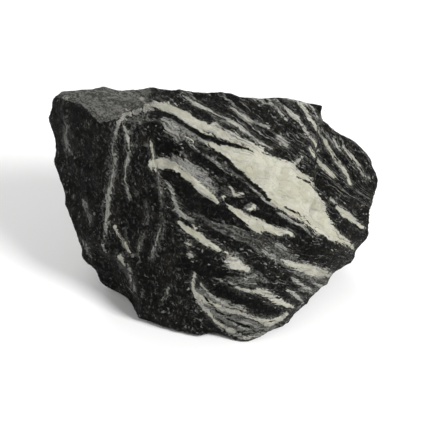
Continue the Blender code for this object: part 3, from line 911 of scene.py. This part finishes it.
def greyUnderVeins(stone, colour):
    banded = (stone.field("band") + stone.rag * 1.6).step(-0.4, 1.2)
    banded *= (stone.thinGrain + stone.grain.centred(0.9)).step(0.43, 0.54, 0.22, 1.0)
    tone = stone.field("bandTone") + stone.broadGrain.centred(1.6) + stone.settled.centred(1.5)
    return (banded * 0.92).mix(colour, shades(tone.step(0.0, 1.1), "slate", "paleGrey"))


def paintedGlints(stone, colour):
    # painted glints: pale specks on single crystals, thickest where the stone is grey
    glintSpecks = (stone.shade + stone.grey * 0.10).step(0.955, 0.975)
    glintSpecks *= stone.patch("glintSpecks").step(0.42, 0.58)
    return stone.paint(colour, "paleGrey", glintSpecks, 0.75, 0.32)


def dustyFacet(stone, colour):
    # dust and painted light from above on the top faces
    dusty = (stone.dust + stone.settled.centred(1.8)).step(0.30, 0.62)
    tone = stone.settled + stone.thinGrain.centred(0.5) + stone.shade.centred(0.10)
    return dusty.mix(colour, shades(tone.step(0.45, 0.57), "slate", "dust"))


def paleMineralAndHighlight(stone):
    # cream, white, peach and mossy patches; greyer by tone and towards the edges, streaked with grey
    tint = stone.patch("tint")
    pale = shades(tint.step(0.44, 0.60), "cream", "white")
    pale = stone.paint(pale, "peach", tint.step(0.56, 0.72), 0.55)
    pale = stone.paint(pale, "moss", stone.patch("moss").step(0.54, 0.72), 0.7)
    strength = stone.field("veinTone") * 1.25 + stone.thinGrain.centred(2.2)
    strength += stone.broadGrain.centred(1.6) + stone.grain.centred(1.1)
    strength += stone.stored.step(1.0, 5.0, -0.12, 0.30)
    greys = shades(strength.step(0.05, 0.75), "slate", "paleGrey")
    pale = strength.step(0.50, 1.20).mix(greys, pale)
    lines = stone.streak("lines", 0.46, 0.06)[0]
    pale = stone.paint(pale, "slate", lines, stone.depth.step(0.6, 4.0, 0.75, 0.0))
    veiled = (stone.thinGrain + stone.settled.centred(0.8)).step(0.50, 0.64)
    return stone.paint(pale, "paleGrey", veiled, stone.patch("veil").step(0.40, 0.60, 0.15, 0.75))


def paleVeinsAndHighlights(stone, colour):
    # pale veins, and two painted highlight spots, frayed along the layers, in a grey halo
    halo = stone.depth.step(-2.2, 0.0)
    halo *= (stone.grain + stone.thinGrain.centred(1.2)).step(0.44, 0.60)
    colour = stone.paint(colour, "grey", halo, 0.45, 0.25)
    return stone.veinAndHighlight.mix(colour, paleMineralAndHighlight(stone))


def darkCutsAndPitShadow(stone, colour):
    # dark streaks across everything else, and a painted shadow in the pit below the top of the ridge
    cut = (stone.field("dark") + stone.rag * 0.7).step(-0.15, 0.22)
    ground = shades(stone.grain.step(0.42, 0.70), "black", "charcoal")
    ground = stone.paint(ground, "slate", stone.speckle, 0.6)
    ground = stone.paint(ground, "grey", stone.thin * stone.patchy, 0.7)
    return cut.mix(colour, ground)


def bruisesHighlightsAndHollowShade(stone, colour):
    # pale convex edges: partly real bruising, partly painted highlight
    bruiseAndHighlight = stone.field("convexEdge").step(0.30, 0.85) * stone.grain.step(0.42, 0.58)
    colour = stone.paint(colour, "paleGrey", bruiseAndHighlight, 0.3)
    # painted shade: black mixed in where the surface is hollow
    return stone.paint(colour, "black", stone.field("hollow").step(0.1, 0.9), 0.275)


def dullness(stone):
    # duller where dusty or pale, with small shiny crystals on the fresh dark breaks
    dull = stone.grain.step(0.3, 0.7, 0.44, 0.70)
    dull += stone.maths("MAXIMUM", stone.veinAndHighlight, stone.dust) * 0.14
    return dull + stone.shade.step(0.90, 0.94) * stone.patchy * -0.22


def surfaceHeight(stone):
    # in mm: tilted flakes, roughness, the layers' edges, small pits and crystals
    heights, size = finish["heights"], finish["flake"]
    place = stone.vectors("DIVIDE", stone.place, (size, size, size))
    tilt = stone.vectors("SUBTRACT", stone.cells(place), (0.5, 0.5, 0.5))
    offset = stone.vectors("SUBTRACT", place, stone.cells(place, "Position"))
    height = stone.vectors("DOT_PRODUCT", offset, tilt, output="Value") * finish["flakeHeight"]
    height += stone.patch("rough") * heights["rough"] + stone.thinGrain * heights["thin"]
    height += stone.broadGrain * heights["broad"] + stone.shade * heights["crystals"]
    height += stone.patch("pits").step(0.28, 0.44, -heights["pits"], 0.0)
    return height * stone.veinAndHighlight.step(0.0, 1.0, 1.0, finish["veinRoughness"])


def stoneMaterial():
    material = bpy.data.materials.new("bandedStone")
    material.use_nodes = True
    material.node_tree.nodes.clear()
    stone = StoneNodes(material.node_tree)
    colour = darkGround(stone)
    for cover in (greyLenses, lightStreaks, greyUnderVeins, paintedGlints, dustyFacet, paleVeinsAndHighlights,
                  darkCutsAndPitShadow, bruisesHighlightsAndHollowShade):
        colour = cover(stone, colour)
    bump = stone.add("ShaderNodeBump", {"Strength": 1.0, "Distance": 0.001,
                                        "Height": surfaceHeight(stone)})
    shader = stone.add("ShaderNodeBsdfPrincipled",
                       {"Base Color": colour, "Roughness": dullness(stone),
                        "Specular IOR Level": finish["specular"], "Normal": bump})
    stone.add("ShaderNodeOutputMaterial", {"Surface": shader})
    return material


# ---- Floor, light and camera ----
studio = {
    "floorHalf": 6.0,  # metres, as all places and sizes here
    "floorColours": ((0.88, 0.88, 0.875, 1), (0.91, 0.91, 0.91, 1)),
    "floorDullness": (0.75, 0.85),
    "floorSpecular": 0.2,
    "world": 0.42,
    "lights": [  # place, size, power, aim
        ((0.95, -0.75, 0.95), 0.5, 28.0, (0.0, 0.0, 0.05)),
        ((-1.1, -0.7, 0.9), 0.9, 3.0, (0.0, 0.0, 0.05)),
        ((-0.3, 1.1, 1.2), 1.0, 12.0, (0.0, 0.0, 0.05)),
    ],
}


def floorMaterial():
    material = bpy.data.materials.new("paleFloor")
    material.use_nodes = True
    nodes = Nodes(material.node_tree)
    shader = material.node_tree.nodes["Principled BSDF"]
    tone = nodes.noise(nodes.add("ShaderNodeTexCoord", {}, "Object"), 3.0, 2.0)
    nodes.feed(shader, {"Base Color": tone.mix(*studio["floorColours"]),
                        "Roughness": tone.step(0.3, 0.7, *studio["floorDullness"]),
                        "Specular IOR Level": studio["floorSpecular"]})
    return material


def makeFloor():
    half = studio["floorHalf"]
    mesh = bpy.data.meshes.new("floor")
    mesh.from_pydata([(-half, -half, 0), (half, -half, 0), (half, half, 0), (-half, half, 0)], [],
                     [(0, 1, 2, 3)])
    mesh.materials.append(floorMaterial())
    addObject("floor", mesh)


def lookAt(made, place, aim):
    made.location = place
    made.rotation_euler = (aim - place).to_track_quat("-Z", "Y").to_euler()


def makeLight():
    world = bpy.data.worlds.new("studio")
    world.use_nodes = True
    world.node_tree.nodes["Background"].inputs["Color"].default_value = (1, 1, 1, 1)
    world.node_tree.nodes["Background"].inputs["Strength"].default_value = studio["world"]
    bpy.context.scene.world = world
    bpy.context.scene.view_settings.view_transform = "Standard"

    for number, (place, size, power, aim) in enumerate(studio["lights"]):
        lamp = bpy.data.lights.new(f"softbox{number}", "AREA")
        lamp.size, lamp.energy = size, power
        lookAt(addObject(lamp.name, lamp), Vector(place), Vector(aim))


def makeCamera():
    rise = np.radians(seen["rise"])
    aim = Vector(seen["aim"])
    eye = aim + seen["distance"] * Vector((0, -np.cos(rise), np.sin(rise)))
    lens = bpy.data.cameras.new("camera")
    lens.lens, lens.sensor_width = seen["lens"], seen["sensor"]
    bpy.context.scene.camera = addObject("camera", lens)
    lookAt(bpy.context.scene.camera, eye, aim)


makeFloor()
makeLight()
makeCamera()
print("studio: done")
rock = makeStone()
rock.data.materials.append(stoneMaterial())
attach(rock, "root")
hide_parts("rock")
print("stone: done")
